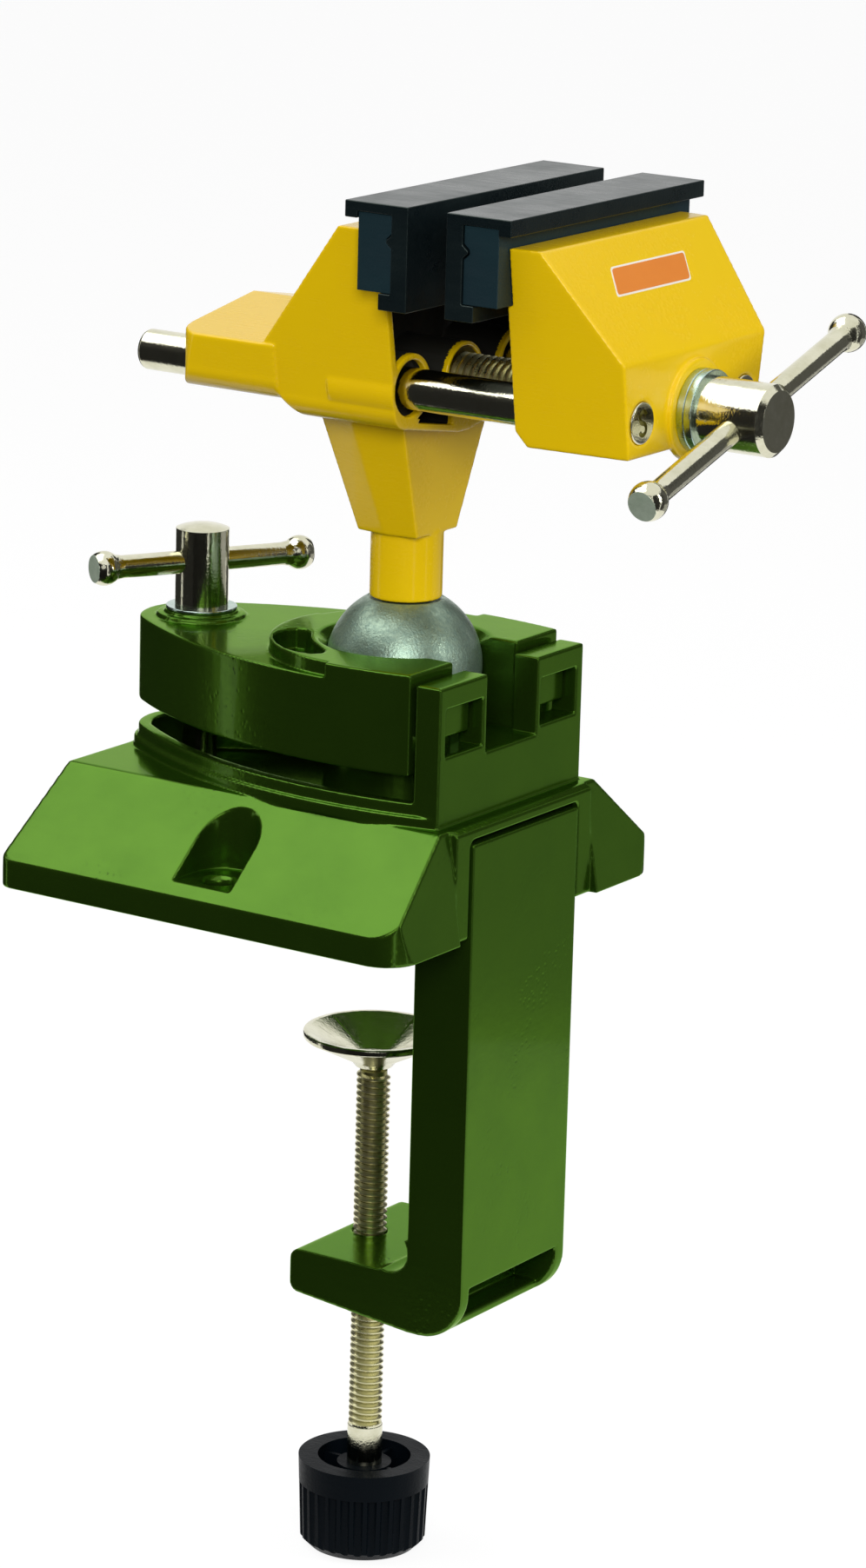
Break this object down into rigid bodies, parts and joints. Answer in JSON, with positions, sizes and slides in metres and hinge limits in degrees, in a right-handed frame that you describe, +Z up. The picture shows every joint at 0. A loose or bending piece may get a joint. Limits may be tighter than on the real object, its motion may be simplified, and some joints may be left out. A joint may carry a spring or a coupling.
{
  "type": "clamp-on table vise",
  "caption": "Small bench vise on a ball joint: parallel jaws on guide rods and a lead screw, a lever plate that locks the ball, and a screw clamp for the table edge.",
  "frame": {"origin": "on the ball's upright axis, in the plane of the base's underside, where it rests on the table", "axes": "+X towards the handle of the vise and the outside of the table's edge, +Y along the jaws, +Z up"},
  "size_m": [0.164, 0.1046, 0.3147],
  "materials": {
    "painted_green": "gloss stove enamel on a die casting",
    "painted_yellow": "gloss stove enamel on a die casting",
    "chrome": "polished nickel-chrome plating",
    "screw_steel": "bright turned steel",
    "zinc_plated": "zinc plating with a pale green-blue tint",
    "dark_steel": "blackened, ground",
    "cast_zinc": "blasted grey casting, polished by wear",
    "brass": "turned",
    "cover_rubber": "satin",
    "knob_plastic": "satin"
  },
  "bodies": {
    "base": {"base_casting": "painted_green", "clamp_bracket": "painted_green", "bracket_bolt_near": "zinc_plated", "bracket_bolt_far": "zinc_plated", "clamp_nut": "zinc_plated"},
    "plate": {"top_plate": "painted_green"},
    "clamp_thrust": {"clamp_washer": "zinc_plated"},
    "clamp_screw": {"clamp_spindle": "chrome"},
    "clamp_handle": {"clamp_bar": "chrome"},
    "seat_ring": {"ball_seat": "brass"},
    "ball_body": {"ball": "cast_zinc", "ball_screw": "zinc_plated"},
    "head": {"fixed_jaw": "painted_yellow", "fixed_insert": "dark_steel", "fixed_insert_screw_near": "dark_steel", "fixed_insert_screw_far": "dark_steel", "fixed_cover": "cover_rubber", "lead_nut": "brass"},
    "carriage": {"moving_jaw": "painted_yellow", "guide_rod_near": "chrome", "guide_rod_far": "chrome", "moving_insert": "dark_steel", "moving_insert_screw_near": "dark_steel", "moving_insert_screw_far": "dark_steel", "moving_cover": "cover_rubber", "spindle_washer_inner": "zinc_plated"},
    "spindle": {"lead_screw": "chrome", "spindle_washer_outer": "zinc_plated", "spindle_clip": "zinc_plated"},
    "spindle_handle": {"spindle_bar": "chrome"},
    "pad": {"swivel_pad": "chrome"},
    "table_clamp_screw": {"table_screw": "screw_steel", "knob": "knob_plastic"}
  },
  "joints": [
    {"name": "plate_tilt", "type": "hinge", "parent": "base", "child": "plate", "pos_m": [0.024, 0, 0.0509], "axis": [0, 1, 0], "range_deg": [0, 1]},
    {"name": "clamp_rise", "type": "slide", "parent": "base", "child": "clamp_thrust", "axis": [0, 0, 1], "range_m": [0, 0.0015]},
    {"name": "clamp_turn", "type": "hinge", "parent": "clamp_thrust", "child": "clamp_screw", "pos_m": [-0.055, 0, 0.058], "axis": [0, 0, 1], "range_deg": [-1, 440]},
    {"name": "clamp_bar_slide", "type": "slide", "parent": "clamp_screw", "child": "clamp_handle", "axis": [0.4848, 0.8746, 0], "range_m": [-0.0132, 0.0132]},
    {"name": "ball_turn", "type": "hinge", "parent": "base", "child": "seat_ring", "pos_m": [0, 0, 0.0522], "axis": [0, 0, 1], "range_deg": [-180, 0]},
    {"name": "ball_tilt", "type": "hinge", "parent": "seat_ring", "child": "ball_body", "pos_m": [0, 0, 0.0522], "axis": [0, 1, 0], "range_deg": [-30, 90]},
    {"name": "head_swivel", "type": "hinge", "parent": "ball_body", "child": "head", "pos_m": [0, 0, 0.0522], "axis": [0, 0, 1], "continuous": true},
    {"name": "jaw_slide", "type": "slide", "parent": "head", "child": "carriage", "axis": [1, 0, 0], "range_m": [-0.0095, 0.05]},
    {"name": "spindle_turn", "type": "hinge", "parent": "carriage", "child": "spindle", "pos_m": [0.072, 0, 0.118], "axis": [1, 0, 0], "range_deg": [-1960, 10290]},
    {"name": "spindle_bar_slide", "type": "slide", "parent": "spindle", "child": "spindle_handle", "axis": [0, 0.9563, 0.2924], "range_m": [-0.0296, 0.0274]},
    {"name": "table_screw_lift", "type": "slide", "parent": "base", "child": "pad", "axis": [0, 0, 1], "range_m": [-0.0385, 0.0325]},
    {"name": "table_screw_turn", "type": "hinge", "parent": "pad", "child": "table_clamp_screw", "pos_m": [-0.0053, 0, -0.08], "axis": [0, 0, 1], "range_deg": [-9250, 7810]}
  ],
  "couplings": [
    {"joint": "plate_tilt", "follows": "clamp_rise", "rad_per_m": 11.4},
    {"joint": "clamp_turn", "follows": "clamp_rise", "rad_per_m": 5026.5},
    {"joint": "spindle_turn", "follows": "jaw_slide", "rad_per_m": 3590.4},
    {"joint": "table_screw_turn", "follows": "table_screw_lift", "rad_per_m": 4188.8}
  ]
}
